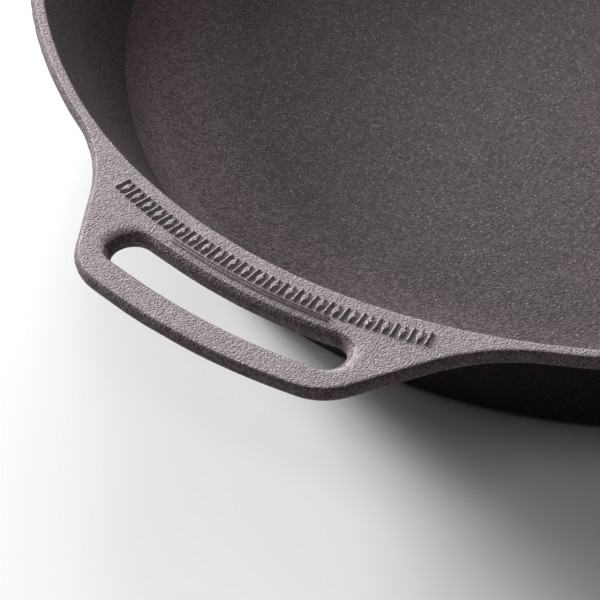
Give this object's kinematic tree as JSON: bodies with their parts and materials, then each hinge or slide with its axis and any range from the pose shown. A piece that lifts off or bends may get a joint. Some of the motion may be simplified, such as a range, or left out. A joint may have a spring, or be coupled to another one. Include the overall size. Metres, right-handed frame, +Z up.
{
  "type": "fire skillet",
  "caption": "Shallow round cast-iron skillet for an open fire, with slanting walls and two flat loop handles level with its rim.",
  "frame": {"origin": "middle of the flat base, on the surface that the skillet stands on", "axes": "+X runs through both loop handles, with the pictured handle at -X; +Z points up out of the bowl"},
  "size_m": [0.4678, 0.3988, 0.0566],
  "materials": {
    "iron": "seasoned, fine sand-cast grain"
  },
  "bodies": {
    "root": {"cooking_floor": "iron", "floor_corner": "iron", "side_wall": "iron", "rim_band": "iron", "rim_lip_front": "iron", "rim_lip_rear": "iron", "left_web": "iron", "left_grip": "iron", "left_arm_front": "iron", "left_arm_rear": "iron", "left_flare_front": "iron", "left_flare_rear": "iron", "left_ornament": "iron", "right_web": "iron", "right_grip": "iron", "right_arm_front": "iron", "right_arm_rear": "iron", "right_flare_front": "iron", "right_flare_rear": "iron", "right_ornament": "iron"}
  },
  "joints": []
}
